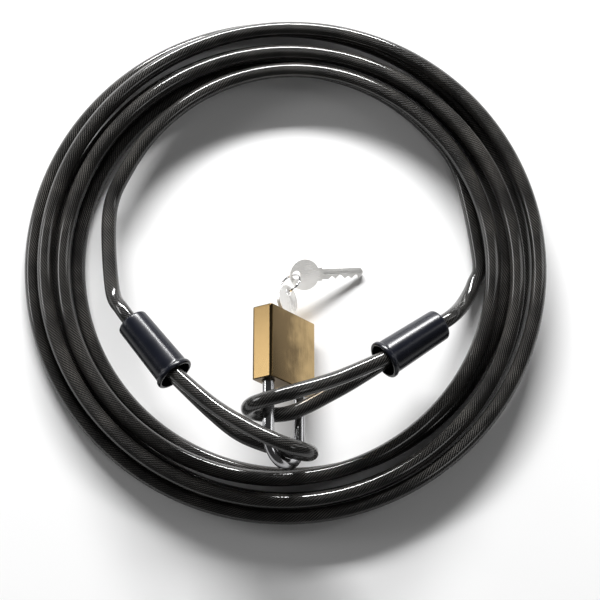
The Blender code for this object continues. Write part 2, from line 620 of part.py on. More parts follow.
def main():
    for piece in list(bpy.data.objects):
        bpy.data.objects.remove(piece)
    root = empty("lock_frame", Matrix.Translation(COIL_CENTRE))
    padlock_world = padlock_matrix()
    padlock = empty("padlock_frame", padlock_world, root)
    make_cable(root)
    for side in SLEEVES:
        make_eye(side, root)
        make_sleeve(side, root)
        make_ferrule(side, root)
    make_body(padlock)
    make_shackle(padlock)
    make_shackle_spring(padlock)
    make_cross_pins(padlock)
    make_latch(padlock)
    make_plug(padlock)
    make_pins(padlock)
    make_key("key_1", empty("key_1_frame", Matrix.Translation((PLUG_X, 0, 0)), padlock))
    make_ring(root, padlock_world)
    make_key("key_2", empty("key_2_frame", key_2_matrix(padlock_world), root))


main()
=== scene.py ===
# %% [markdown]
# # A cable lock, dressed for its portrait
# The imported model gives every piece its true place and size. This lesson puts the looks over it: smoked
# vinyl with wire showing through, satin sleeves, brushed brass, plated steel and two cut keys.
# Everything is in metres, and a piece made here goes where the model says it is.

# %% load the model
import json
import math

import bpy
import numpy as np
from mathutils import Matrix, Vector

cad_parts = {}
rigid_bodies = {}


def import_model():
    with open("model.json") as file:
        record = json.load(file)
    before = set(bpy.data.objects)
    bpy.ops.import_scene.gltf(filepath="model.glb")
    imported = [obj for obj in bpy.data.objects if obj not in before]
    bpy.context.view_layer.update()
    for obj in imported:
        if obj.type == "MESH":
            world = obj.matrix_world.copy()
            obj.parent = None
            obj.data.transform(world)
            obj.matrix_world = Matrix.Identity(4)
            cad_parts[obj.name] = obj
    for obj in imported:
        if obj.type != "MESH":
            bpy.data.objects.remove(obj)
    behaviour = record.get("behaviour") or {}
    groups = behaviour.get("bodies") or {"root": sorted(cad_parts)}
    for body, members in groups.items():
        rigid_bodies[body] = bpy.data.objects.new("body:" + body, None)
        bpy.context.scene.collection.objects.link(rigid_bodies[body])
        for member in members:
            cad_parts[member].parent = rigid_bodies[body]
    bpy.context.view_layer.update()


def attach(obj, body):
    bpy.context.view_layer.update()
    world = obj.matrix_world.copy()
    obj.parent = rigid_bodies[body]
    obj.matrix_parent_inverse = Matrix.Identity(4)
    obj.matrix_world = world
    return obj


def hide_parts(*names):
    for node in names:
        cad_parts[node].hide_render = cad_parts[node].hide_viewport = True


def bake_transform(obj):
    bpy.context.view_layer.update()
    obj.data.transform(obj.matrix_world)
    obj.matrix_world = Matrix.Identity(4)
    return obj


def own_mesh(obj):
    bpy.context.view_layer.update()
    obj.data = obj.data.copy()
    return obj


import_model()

MM = 0.001

# %% [markdown]
# ## The camera
# The photograph looks almost straight down, from the shackle's side, 77 degrees above the floor. A long lens
# keeps the coil round. The camera aims a little to the right of the coil's middle and below it, because
# the coil isn't centred in the picture.

# %% camera
COIL_CENTRE = np.array([-12.86, 56.49, 0.0])   # from the padlock's middle, in millimetres
VIEW_ELEVATION = math.radians(77.0)
VIEW_DISTANCE = 1.15
FRAME_WIDTH = 0.3209                            # what the picture takes in, at the coil
AIM = Vector((COIL_CENTRE[0] + 8.0, COIL_CENTRE[1] - 20.0, 8.0)) * MM

camera = bpy.data.objects.new("camera", bpy.data.cameras.new("camera"))
bpy.context.scene.collection.objects.link(camera)
bpy.context.scene.camera = camera
camera.data.sensor_width = 36.0
camera.data.lens = 36.0 * VIEW_DISTANCE / FRAME_WIDTH
away = Vector((0.0, -math.cos(VIEW_ELEVATION), math.sin(VIEW_ELEVATION)))
camera.location = AIM + away * VIEW_DISTANCE
camera.rotation_euler = (-away).to_track_quat("-Z", "Y").to_euler()
print("lens:", round(camera.data.lens, 1), "mm")

# %% [markdown]
# ## Surfaces from arrays
# Nearly every piece here is a grid of points: one way along it, one way round it. `grid_piece` turns such
# an array into a mesh in one go, closes the ends with flat caps, and keeps the two directions as a UV map, in
# metres along and in turns round, so that a finish can follow the surface.

# %% grid helper
def grid_mesh(name, points, ends="caps"):
    """Points are (stations, sides, 3). The sides close on themselves. Ends: caps, or loop to join them."""
    stations, sides = points.shape[:2]
    low = np.arange(stations if ends == "loop" else stations - 1)[:, None]
    high = (low + 1) % stations
    here = np.arange(sides)[None, :]
    after = (here + 1) % sides
    quads = np.stack([low * sides + here, low * sides + after, high * sides + after, high * sides + here], -1)
    faces = quads.reshape(-1, 4).tolist()
    if ends == "caps":
        faces += [list(range(sides))[::-1], list(range((stations - 1) * sides, stations * sides))]
    mesh = bpy.data.meshes.new(name)
    mesh.from_pydata(points.reshape(-1, 3).tolist(), [], faces)
    return mesh


def distance_along(points):
    """How far along a path each of its points is: the running sum of |P2 - P1|."""
    return np.concatenate(([0.0], np.cumsum(np.linalg.norm(np.diff(points, axis=0), axis=1))))


def grid_piece(name, points, body, replaces, ends="caps", smooth_deg=60.0):
    """A piece of its own from a grid. Its UV map holds metres along the grid's middle, and turns round it."""
    mesh = grid_mesh(name, points, ends)
    stations, sides = points.shape[:2]
    rows = stations if ends == "loop" else stations - 1
    row, side = np.divmod(np.arange(rows * sides), sides)
    run = distance_along(points.mean(axis=1))
    u_low, u_high = run[row], run[np.minimum(row + 1, stations - 1)]
    v_low, v_high = side / sides, (side + 1) / sides
    corners = np.stack([u_low, v_low, u_low, v_high, u_high, v_high, u_high, v_low], axis=1).reshape(-1, 2)
    uv = np.zeros((len(mesh.loops), 2))
    uv[:len(corners)] = corners
    mesh.uv_layers.new(name="along").data.foreach_set("uv", uv.ravel())
    return settle(name, flipped_if_inside_out(mesh), body, replaces, smooth_deg)


def settle(name, mesh, body, replaces, smooth_deg):
    """Makes a mesh a smooth piece, fixes it to its body, if it has one, and hides the model's parts that it
    replaces.
    """
    mesh.shade_smooth()
    mesh.set_sharp_from_angle(angle=math.radians(smooth_deg))
    piece = bpy.data.objects.new(name, mesh)
    bpy.context.scene.collection.objects.link(piece)
    if body:
        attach(piece, body)
    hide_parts(*replaces)
    return piece


def flipped_if_inside_out(mesh):
    """A closed surface that points outwards has a positive volume: the sum of corner products over 6."""
    mesh.calc_loop_triangles()
    corner = np.empty(len(mesh.vertices) * 3)
    mesh.vertices.foreach_get("co", corner)
    corner = corner.reshape(-1, 3)
    index = np.empty(len(mesh.loop_triangles) * 3, dtype=int)
    mesh.loop_triangles.foreach_get("vertices", index)
    a, b, c = corner[index.reshape(-1, 3)].transpose(1, 0, 2)
    if np.einsum("ij,ij->i", a, np.cross(b, c)).sum() < 0:
        mesh.flip_normals()
    return mesh


def sweep(path, radius, sides, reference):
    """A round section carried along a path. At each station the tangent T and the reference direction R
    give two directions across it, A = T x R and B = A x T, and a point is P + r (cos v A + sin v B)."""
    path = np.asarray(path, float)
    tangent = np.gradient(path, axis=0)
    tangent /= np.linalg.norm(tangent, axis=1, keepdims=True)
    across = np.cross(tangent, np.broadcast_to(reference, path.shape))
    across /= np.linalg.norm(across, axis=1, keepdims=True)
    other = np.cross(across, tangent)
    turn = np.arange(sides) * math.tau / sides
    radius = np.broadcast_to(radius, len(path))[:, None, None]
    ring = np.cos(turn)[None, :, None] * across[:, None, :] + np.sin(turn)[None, :, None] * other[:, None, :]
    return path[:, None, :] + radius * ring


def turned(profile, sides):
    """A turned shape about Z: each (radius, height) of the profile becomes (r cos v, r sin v, h)."""
    radius, height = np.asarray(profile, float).T
    turn = np.arange(sides) * math.tau / sides
    return np.stack([radius[:, None] * np.cos(turn), radius[:, None] * np.sin(turn),
                     np.broadcast_to(height[:, None], (len(height), sides))], axis=-1)


def placed(points, frame_matrix):
    """Millimetres in a piece's own frame to metres in the world: M p."""
    turn = np.array(frame_matrix.to_3x3())
    return (np.asarray(points) @ turn.T + np.array(frame_matrix.translation)) * MM


def ease(x):
    """A smooth step: 0 up to x = 0, 1 from x = 1 on, and x x (3 - 2 x) between."""
    x = np.clip(x, 0.0, 1.0)
    return x * x * (3 - 2 * x)


# %% [markdown]
# ## The route of the cable
# The cable is one 8 mm rope. It leaves the left sleeve, winds outwards over the upper layer, climbs down
# at the bottom, winds inwards underneath, and ends in the right sleeve. Its radius grows by 11.8 mm a turn
# and a slow wave makes it look wound by hand. The route is the model's own, read much more finely.

# %% route helpers
CABLE_D = 8.0
FLAT_CUT = 0.8                                 # what the floor flattens off the lowest loops
COIL_TURNS, COIL_START_DEG, POINTS_A_LOOP = 5.47, 178.0, 24
COIL_R_INNER, COIL_PITCH, REVERSAL_TURN, CLIMB_TURNS = 105.0, 11.8, 2.75, 0.5
LAYER_Z = (CABLE_D / 2 - FLAT_CUT, CABLE_D * 1.5 - FLAT_CUT + 0.5)
LOWER_LAYER_SHIFT_Y, START_INSET, START_INSET_TURNS = 2.8, 9.0, 0.3
REVERSAL_ROUND = 0.12                          # in turns: how gently the winding turns from out to in
WANDER, WANDER_RATE = 1.1, 1.38
KNOT_STEPS = 40                                # points from one knot of a route to the next
SLEEVE_LENGTH, FERRULE_FROM, FERRULE_TO, STRAND_SPREAD, END_GAP = 39.0, 8.0, 29.3, 4.35, 0.4
SLEEVES = {
    "left": (Vector((-80.2, -36.3, 29.0)), Vector((-55.6, -67.4, 36.0))),
    "right": (Vector((81.6, -36.6, 23.5)), Vector((48.0, -60.6, 35.0))),
}
LEAD_IN = [(-91.6, -16.0, 20.0)]
LEAD_OUT = [(104.6, 4.0, 3.2), (101.6, -10.0, 4.2), (95.2, -22.6, 10.6)]
EYES = {
    "left": [(-38.0, -83.0, 46.5), (-22.5, -94.0, 52.5), (-9.5, -101.5, 56.3), (2.0, -106.3, 56.2),
             (10.8, -108.0, 50.5), (13.6, -108.0, 43.0), (11.4, -107.4, 35.8), (6.0, -105.8, 31.6),
             (-1.5, -103.7, 30.2), (-10.0, -101.6, 29.4), (-24.0, -95.4, 28.8), (-38.0, -84.2, 29.6)],
    "right": [(32.0, -67.6, 43.6), (18.7, -73.2, 48.4), (5.5, -77.6, 51.4), (-6.5, -80.8, 50.4),
              (-15.6, -82.8, 44.6), (-18.6, -84.0, 36.6), (-15.8, -84.9, 29.0), (-8.0, -85.2, 24.6),
              (2.0, -84.3, 24.2), (12.0, -80.6, 25.2), (22.0, -75.6, 27.0), (34.0, -69.3, 29.6)],
}


def smooth_route(points, step):
    """Catmull-Rom: between P1 and P2 a point is a cubic blend of four knots, read at even steps."""
    knots = np.array([tuple(p) for p in points])
    knots = np.vstack([2 * knots[0] - knots[1], knots, 2 * knots[-1] - knots[-2]])
    p0, p1, p2, p3 = (knots[k:len(knots) - 3 + k, None, :] for k in range(4))
    t = (np.arange(KNOT_STEPS) / KNOT_STEPS)[None, :, None]
    fine = 0.5 * (2 * p1 + (p2 - p0) * t + (2 * p0 - 5 * p1 + 4 * p2 - p3) * t ** 2
                  + (3 * p1 - p0 - 3 * p2 + p3) * t ** 3)
    fine = np.vstack([fine.reshape(-1, 3), knots[-2]])
    run = distance_along(fine)
    at = np.linspace(0.0, run[-1], max(2, round(run[-1] / step) + 1))
    return np.stack([np.interp(at, run, fine[:, k]) for k in range(3)], axis=1)


def coil_points(turns):
    """Polar form: angle falls by a turn a turn, radius = inner + pitch x turns wound out + wander."""
    angle = np.radians(COIL_START_DEG - 360.0 * turns)
    out = REVERSAL_TURN - np.hypot(turns - REVERSAL_TURN, REVERSAL_ROUND) + REVERSAL_ROUND
    radius = COIL_R_INNER + COIL_PITCH * out + WANDER * np.sin(math.tau * WANDER_RATE * turns)
    inset = START_INSET * (1 + np.cos(math.pi * turns / START_INSET_TURNS)) / 2
    radius = radius - np.where(turns < START_INSET_TURNS, inset, 0.0)
    down = ease((turns - REVERSAL_TURN) / CLIMB_TURNS + 0.5)
    height = LAYER_Z[1] + (LAYER_Z[0] - LAYER_Z[1]) * down
    return np.stack([radius * np.cos(angle),
                     radius * np.sin(angle) + LOWER_LAYER_SHIFT_Y * (down - 0.5), height], axis=1)


def sleeve_frame(side):
    """Local Z runs from the sleeve's back end to its mouth, local Y is as upright as it can be."""
    back, mouth = SLEEVES[side]
    along = (mouth - back).normalized()
    up = (Vector((0, 0, 1)) - along * along.z).normalized()
    turn = Matrix((up.cross(along), up, along)).transposed().to_4x4()
    turn.translation = back
    return turn


# %% [markdown]
# ## The cable's coil
# A tube 8 mm thick follows the route. Where the lowest loops press on the floor the coat is a little flat,
# so points under the floor are lifted to it. Close stations and 24 points round keep it smooth.

# %% cable coil
COIL_STEP, COIL_SIDES = 3.0, 24
EYE_STEP, EYE_SIDES = 1.5, 28


def world(points):
    """Millimetres from the coil's centre to metres in the world."""
    return (np.asarray(points) + COIL_CENTRE) * MM


def cable_route():
    left, right = sleeve_frame("left"), sleeve_frame("right")
    reach = FERRULE_FROM - END_GAP
    first = [left @ Vector((0, 0, z)) for z in (reach, reach - CABLE_D / 2, -CABLE_D)]
    last = [right @ Vector((0, 0, z)) for z in (-CABLE_D, reach - CABLE_D / 2, reach)]
    stations = round(COIL_TURNS * POINTS_A_LOOP)
    loops = list(coil_points(np.arange(1, stations) / POINTS_A_LOOP))
    return smooth_route(first + LEAD_IN + loops + LEAD_OUT + last, COIL_STEP)


route = world(cable_route())
tube = sweep(route, CABLE_D / 2 * MM, COIL_SIDES, (0.0, 0.0, 1.0))
tube[..., 2] = np.maximum(tube[..., 2], 0.0)
cable = grid_piece("cable", tube, "lock", ["cable_coil"])

# %% [markdown]
# ## The two eyes
# Each end of the cable turns back on itself and is crimped, which leaves an eye. An eye stands nearly
# upright, so its tube is built across a level direction square to the eye's own plane: a reference that the
# cable never runs along.

# %% eyes
eyes = {}
for side in SLEEVES:
    sleeve = sleeve_frame(side)
    reach = FERRULE_TO + END_GAP
    heights = (reach, reach + CABLE_D / 2, SLEEVE_LENGTH)
    start = [sleeve @ Vector((0, STRAND_SPREAD, z)) for z in heights]
    end = [sleeve @ Vector((0, -STRAND_SPREAD, z)) for z in reversed(heights)]
    line = world(smooth_route(start + EYES[side] + end, EYE_STEP))
    level = (sleeve.to_3x3() @ Vector((1, 0, 0))).normalized()
    eye = grid_piece(f"{side}_loop", sweep(line, CABLE_D / 2 * MM, EYE_SIDES, level), "lock",
                     [f"{side}_eye"])
    eyes[side] = eye

# %% [markdown]
# ## Sleeves over the crimps
# A moulded sleeve hides each crimped ferrule. It is a turned shape: a softly rounded back, a slow flare
# up to a rolled collar round the mouth, and a wall that runs back inside so that the mouth is deep and dark.
# The collar rises from the flare on a smooth step, as a mould would leave it.

# %% sleeves
def arc(centre, radius, start_deg, end_deg, count):
    """Points (a + r cos t, b + r sin t) on part of a circle."""
    t = np.radians(np.linspace(start_deg, end_deg, count))
    return np.stack([centre[0] + radius * np.cos(t), centre[1] + radius * np.sin(t)], axis=1)


BACK_R, FRONT_R, BORE_R = 8.5, 10.4, CABLE_D / 2 + 0.4
NECK_END_R, COLLAR_FROM, COLLAR_RISE = 9.45, SLEEVE_LENGTH - 3.3, 1.3
flare_z = np.append(np.linspace(3.5, SLEEVE_LENGTH - 4.5, 10),
                    np.linspace(COLLAR_FROM, COLLAR_FROM + COLLAR_RISE, 8))
collar = ease((flare_z - COLLAR_FROM) / COLLAR_RISE)
flare_r = BACK_R + (NECK_END_R - BACK_R) * flare_z / SLEEVE_LENGTH + (FRONT_R - NECK_END_R) * collar
sleeve_profile = np.vstack([
    [(BORE_R, 3.2), (BORE_R, 0.7)], arc((BORE_R + 0.5, 0.5), 0.5, 180, 270, 4),
    arc((BACK_R - 1.5, 1.5), 1.5, 270, 357, 9),
    np.stack([np.minimum(flare_r, FRONT_R), flare_z], axis=1),
    arc((FRONT_R - 1.0, SLEEVE_LENGTH - 1.0), 1.0, 3, 90, 9),
    arc((FRONT_R - 1.1, SLEEVE_LENGTH - 0.6), 0.6, 100, 175, 6),
    [(FRONT_R - 1.75, SLEEVE_LENGTH - 1.6), (8.4, FERRULE_TO + 0.6), (7.5, 5.0)]])
sleeve_skins = []
for side in SLEEVES:
    shape = sleeve_frame(side)
    shape.translation = shape.translation + Vector(COIL_CENTRE)
    skin = grid_piece(f"{side}_cover", placed(turned(sleeve_profile, 72), shape), "lock",
                      [f"{side}_sleeve"], ends="loop", smooth_deg=50.0)
    sleeve_skins.append(skin)
print("sleeves:", len(sleeve_profile), "points in the profile")

# %% [markdown]
# ## The padlock's own frame
# The padlock lies rolled on one long edge with its shackle end raised. Its pieces are made in the
# padlock's own frame, where X runs from the toe of the shackle to its heel, Y out of the wide face and Z from
# the key face to the shackle, and then carried to where it lies.

# %% padlock frame
BODY_W, BODY_T, BODY_H, BODY_ROUND = 40.0, 12.5, 40.0, 1.4
LEG_X, SHACKLE_R, CLEARANCE = 13.75, 3.15, 38.0
HEEL_END, TOE_END, NECK_LOW, NECK_HIGH, NECK_R = 14.0, 31.0, 21.4, 33.2, 2.1
PLUG_X, PLUG_BORE_R, PLUG_LENGTH = 2.0, 4.5, 26.0
LATCH_Z = (30.6, 36.2)
ROLL_DEG, TILT_DEG = 55.0, 8.0
PADLOCK_X, PADLOCK_Y = -0.4, -31.2


def padlock_matrix():
    lying = Matrix(((1, 0, 0), (0, 0, -1), (0, 1, 0))).to_4x4()
    roll, tilt = math.radians(ROLL_DEG), math.radians(TILT_DEG)
    reach = ((BODY_W / 2 - BODY_ROUND) * math.sin(roll) + (BODY_T / 2 - BODY_ROUND) * math.cos(roll)
             + BODY_ROUND)
    lying_at = Vector((PADLOCK_X, PADLOCK_Y, reach * math.cos(tilt)))
    place = Matrix.Translation(lying_at + Vector(COIL_CENTRE))
    return place @ Matrix.Rotation(-tilt, 4, "X") @ Matrix.Rotation(roll, 4, "Y") @ lying


PADLOCK = padlock_matrix()
TO_SHACKLE = PADLOCK.to_3x3() @ Vector((0, 0, 1))
print("towards the shackle:", tuple(round(v, 3) for v in TO_SHACKLE))


# %% [markdown]
# ## Cutting holes
# Bores and notches are cut with an exact Boolean, as a drill would cut them, and the result is kept as
# plain mesh. A narrow bevel can then break the sharp edges, because real edges always catch some light.

# %% cutting helper
BEVEL_FROM_DEG = 35.0


def solid_of(name, points):
    """A closed grid with capped ends, as a bare mesh for cutting or for carving."""
    return flipped_if_inside_out(grid_mesh(name, points))


def carved(name, mesh, cutters, body, replaces, place=None, bevel=0.0, smooth_deg=30.0):
    """The mesh less all the cutters, bevelled, carried to its place, with normals weighted by face area."""
    blank = bpy.data.objects.new(name + "_blank", mesh)
    bpy.context.scene.collection.objects.link(blank)
    tools = []
    for number, cutter in enumerate(cutters):
        tool = bpy.data.objects.new(f"{name}_tool_{number}", cutter)
        bpy.context.scene.collection.objects.link(tool)
        cut = blank.modifiers.new(tool.name, "BOOLEAN")
        cut.operation, cut.solver, cut.object = "DIFFERENCE", "EXACT", tool
        tools.append(tool)
    if bevel:
        edge = blank.modifiers.new("edges", "BEVEL")
        edge.width, edge.segments, edge.limit_method = bevel * MM, 2, "ANGLE"
        edge.angle_limit = math.radians(BEVEL_FROM_DEG)
        edge.use_clamp_overlap = True
    bpy.context.view_layer.update()
    made = bpy.data.meshes.new_from_object(blank.evaluated_get(bpy.context.evaluated_depsgraph_get()))
    for gone in [blank, *tools]:
        bpy.data.objects.remove(gone)
    made.name = name
    if place:
        made.transform(Matrix.Translation(place.translation * MM) @ place.to_3x3().to_4x4())
    piece = settle(name, made, body, replaces, smooth_deg)
    piece.modifiers.new("weights", "WEIGHTED_NORMAL").keep_sharp = True
    return piece


# %% [markdown]
# ## The brass body
# The body is sawn from drawn brass bar, so its long edges are softly rounded, and its flat ends have a fine
# round along their edges. Two bores take the shackle and one takes the cylinder. The mouth of each is broken
# with a small countersink.

# %% brass body
END_ROUND, END_HOLD = 0.5, 0.1          # the small round at each end, and a short flat that holds it
LEG_BORE_R, LEG_COUNTERSINK = SHACKLE_R + 0.2, 0.35
HEEL_BORE_FLOOR, TOE_BORE_FLOOR = 6.0, TOE_END - 1.0
PLUG_COUNTERSINK, PLUG_BORE_END = 0.3, PLUG_LENGTH + 6.9
CHANNEL_W, CHANNEL_T, CHANNEL_ROUND, CHANNEL_X, CHANNEL_PLAY = 22.2, 6.4, 0.6, -1.7, 0.2
DRILL_SIDES = 64


def rounded_rectangle(width, height, radius, corner_points=10, hold=0.05):
    """Four quarter circles, each with a point just outside its ends so that the flats stay flat."""
    t = np.linspace(0.0, math.pi / 2, corner_points)
    quarter = np.stack([np.cos(t), np.sin(t)], axis=1) * radius
    quarter = np.vstack([quarter[0] - (0, hold), quarter, quarter[-1] - (hold, 0)])
    reach = np.array([width / 2 - radius, height / 2 - radius])
    turned_quarters = []
    for number, (sx, sy) in enumerate(((1, 1), (-1, 1), (-1, -1), (1, -1))):
        turn = number * math.pi / 2
        spin = np.array([[math.cos(turn), math.sin(turn)], [-math.sin(turn), math.cos(turn)]])
        turned_quarters.append(quarter @ spin + reach * (sx, sy))
    return np.vstack(turned_quarters)


def stacked(outlines, heights):
    """Outlines at heights, as a grid."""
    return np.stack([np.column_stack([outline, np.full(len(outline), height)])
                     for outline, height in zip(outlines, heights)])


def body_grid():
    """Outlines stacked along Z. Close to each end they draw in by a quarter circle."""
    t = np.linspace(0.0, math.pi / 2, 5)
    insets = [*END_ROUND * (1 - np.sin(t)), 0.0]
    heights = [*END_ROUND * (1 - np.cos(t)), END_ROUND + END_HOLD]
    insets += insets[::-1]
    heights += [BODY_H - height for height in heights[::-1]]
    outlines = [rounded_rectangle(BODY_W - 2 * inset, BODY_T - 2 * inset, BODY_ROUND - inset / 2)
                for inset in insets]
    return stacked(outlines, heights)


def drill(x, profile):
    """A drill's shape along Z at place x, from its profile of (radius, height)."""
    return solid_of("drill", placed(turned(profile, DRILL_SIDES) + (x, 0, 0), PADLOCK))


def leg_drill(x, floor):
    """A leg's bore, down to its floor. It flares at the body's top, where its mouth is."""
    mouth_r = LEG_BORE_R + LEG_COUNTERSINK
    return drill(x, [(LEG_BORE_R, floor), (LEG_BORE_R, BODY_H - LEG_COUNTERSINK), (mouth_r, BODY_H),
                     (mouth_r, BODY_H + 2.0)])


def cylinder_drill():
    """The cylinder's bore. It flares at the key face, where its mouth is."""
    mouth_r = PLUG_BORE_R + PLUG_COUNTERSINK
    return drill(PLUG_X, [(mouth_r, -2.0), (mouth_r, 0.0), (PLUG_BORE_R, PLUG_COUNTERSINK),
                          (PLUG_BORE_R, PLUG_BORE_END)])


def channel():
    """The latch's channel, across the body from the toe bore to beyond the cylinder."""
    outline = rounded_rectangle(CHANNEL_W, CHANNEL_T, CHANNEL_ROUND, 4) + (CHANNEL_X, 0)
    heights = (LATCH_Z[0] - CHANNEL_PLAY, LATCH_Z[1] + CHANNEL_PLAY)
    return solid_of("channel", placed(stacked([outline, outline], heights), PADLOCK))


body_cutters = [leg_drill(LEG_X, HEEL_BORE_FLOOR), leg_drill(-LEG_X, TOE_BORE_FLOOR), cylinder_drill(),
                channel()]
brass_body = carved("brass_body", solid_of("brass_body", placed(body_grid(), PADLOCK)), body_cutters, "lock",
                    ["padlock_body"])
print("brass body:", len(brass_body.data.polygons), "faces")

# %% [markdown]
# ## The shackle
# One hardened rod, bent to a U. The toe has a notch that the latch catches in, and the heel a turned neck
# where a pin keeps it in the body when it springs open.

# %% shackle
TIP = [(0.0, 0.80), (0.35, 0.93), (0.7, 1.0)]   # from a rod's end: millimetres, and share of its radius
NOTCH_DEPTH, NOTCH_TOP, NOTCH_LEDGE, NOTCH_MOUTH, NOTCH_FOOT = 1.55, LATCH_Z[1] + 0.4, 34.7, 31.9, 30.1


def shackle_line():
    """Straight toe, half a circle of radius LEG_X, straight heel, with the rod's radius at each station."""
    top = BODY_H + CLEARANCE - LEG_X + SHACKLE_R
    toe = [(-LEG_X, TOE_END + height, share) for height, share in TIP]
    toe += [(-LEG_X, z, 1.0) for z in np.linspace(TOE_END + 4, top - 2, 6)]
    t = np.linspace(0.0, math.pi, 61)
    bow = np.stack([-LEG_X * np.cos(t), top + LEG_X * np.sin(t), np.ones(61)], axis=1)
    slim = NECK_R / SHACKLE_R
    neck = [(NECK_HIGH + 0.5, 1.0), (NECK_HIGH + 0.02, slim), (NECK_HIGH - 0.6, slim),
            (NECK_LOW + 0.6, slim), (NECK_LOW - 0.02, slim), (NECK_LOW - 0.5, 1.0)]
    heel = [(LEG_X, z, 1.0) for z in np.linspace(top - 2, NECK_HIGH + 4, 6)]
    heel += [(LEG_X, z, share) for z, share in neck]
    heel += [(LEG_X, HEEL_END + height, share) for height, share in reversed(TIP)]
    return np.vstack([toe, bow, heel])


def notch_tool():
    """A ledge that the latch's nose slides under, and below it a slope that runs out to the rod's side."""
    inner = -LEG_X + SHACKLE_R
    outline = np.array([(inner - NOTCH_DEPTH, NOTCH_TOP), (inner - NOTCH_DEPTH, NOTCH_LEDGE),
                        (inner, NOTCH_MOUTH), (inner + 1, NOTCH_FOOT), (inner + 1, NOTCH_TOP)])
    sheets = [np.column_stack([outline[:, 0], np.full(5, y), outline[:, 1]]) for y in (-5.0, 5.0)]
    return solid_of("notch", placed(np.stack(sheets), PADLOCK))


rod_line = shackle_line()
centres = np.column_stack([rod_line[:, 0], np.zeros(len(rod_line)), rod_line[:, 1]])
rod = sweep(centres, rod_line[:, 2] * SHACKLE_R, 40, (0.0, 1.0, 0.0))
shackle_rod = carved("shackle_rod", solid_of("shackle_rod", placed(rod, PADLOCK)), [notch_tool()], "shackle",
                     ["shackle"], smooth_deg=35.0)
print("shackle:", len(shackle_rod.data.polygons), "faces")

# %% [markdown]
# ## Keys
# A key is stamped from flat strip, so it is an outline with a thickness. The bow is a wide round head
# with a hole for the ring, the shoulder stops against the cylinder, and four V cuts lift the pins. A groove
# is milled along each side of the blade, and the edges are tumbled smooth.

# %% keys
BLADE_T, BLADE_LOW, BLADE_HIGH, BLADE_LENGTH = 1.9, -2.2, 3.4, 23.0
BOW_R, BOW_OPENING, BOW_FLAT, BOW_FOOT_Z = 8.4, 0.42, 0.93, -1.6
KEY_HOLE_R, KEY_HOLE_Z = 2.3, -14.4
SHOULDER, SHOULDER_Z = 0.9, -1.2
PIN_Z, CUT_DEPTHS, CUT_HALF = (5.5, 10.0, 14.5, 19.0), (1.3, 2.0, 1.0, 1.7), 0.5
GROOVE_DEPTH, GROOVE_HALF, GROOVE_FROM = 0.45, 0.5, 0.8
KEY_BEVEL = 0.14
MIDDLE = (BLADE_LOW + BLADE_HIGH) / 2


def key_outline():
    """The bow is most of a circle, flattened a little at its end. The blade follows with its cuts."""
    start = math.asin(BOW_OPENING)
    t = np.linspace(math.pi / 2 - start, math.pi / 2 - start - math.tau + 2 * start, 72)
    flat = np.where(np.sin(t) < 0, BOW_FLAT, 1.0)
    bow = np.stack([MIDDLE + BOW_R * np.cos(t), BOW_FOOT_Z - BOW_R + BOW_R * flat * np.sin(t)], axis=1)
    blade = [(BLADE_LOW - SHOULDER, SHOULDER_Z), (BLADE_LOW - SHOULDER, 0.0), (BLADE_LOW, 0.0)]
    for z, depth in zip(PIN_Z, CUT_DEPTHS):
        reach = CUT_HALF + 0.2 + depth
        floor = BLADE_LOW + depth
        blade += [(BLADE_LOW, z - reach), (floor, z - CUT_HALF), (floor, z + CUT_HALF),
                  (BLADE_LOW, min(z + reach, BLADE_LENGTH - 2.4))]
    blade += [(BLADE_LOW, BLADE_LENGTH - 2.2), (MIDDLE, BLADE_LENGTH), (MIDDLE + 0.6, BLADE_LENGTH),
              (BLADE_HIGH, BLADE_LENGTH - 1.6), (BLADE_HIGH, 0.0), (BLADE_HIGH + SHOULDER, 0.0),
              (BLADE_HIGH + SHOULDER, SHOULDER_Z)]
    return np.vstack([bow, blade])


def key_mesh():
    """The outline at both sides of the strip, still in the key's own frame."""
    outline = key_outline()
    sheet = np.stack([np.column_stack([outline[:, 0], np.full(len(outline), y), outline[:, 1]])
                      for y in (-BLADE_T / 2, BLADE_T / 2)])
    return solid_of("key", sheet * MM)


def key_tools():
    """A drill through the bow, and a milled groove along each side of the blade."""
    ring = turned([(KEY_HOLE_R, -3.0), (KEY_HOLE_R, 3.0)], 40)[..., [0, 2, 1]] + (MIDDLE, 0, KEY_HOLE_Z)
    tools = [solid_of("key_hole", ring * MM)]
    for side, x in ((1, MIDDLE + 0.5), (-1, MIDDLE + 0.9)):
        floor_y, mouth_y = side * (BLADE_T / 2 - GROOVE_DEPTH), side * (BLADE_T / 2 + 1.0)
        floor_half, mouth_half = GROOVE_HALF, GROOVE_HALF + 0.4
        box = np.array([[(x - floor_half, floor_y, z), (x + floor_half, floor_y, z),
                         (x + mouth_half, mouth_y, z), (x - mouth_half, mouth_y, z)]
                        for z in (GROOVE_FROM, BLADE_LENGTH + 1.0)])
        tools.append(solid_of("groove", box * MM))
    return tools


KEY_1 = PADLOCK @ Matrix.Translation((PLUG_X, 0, 0))
RING_R, RING_LEAN, KEY_2_RING = 6.2, math.radians(25.0), math.radians(22.0)
HOLE_1 = PADLOCK @ Vector((PLUG_X + MIDDLE, 0, KEY_HOLE_Z))
RING_AWAY = PADLOCK.to_3x3() @ Vector((math.sin(RING_LEAN), 0, -math.cos(RING_LEAN)))
RING_SIDE = PADLOCK.to_3x3() @ Vector((0, 1, 0))


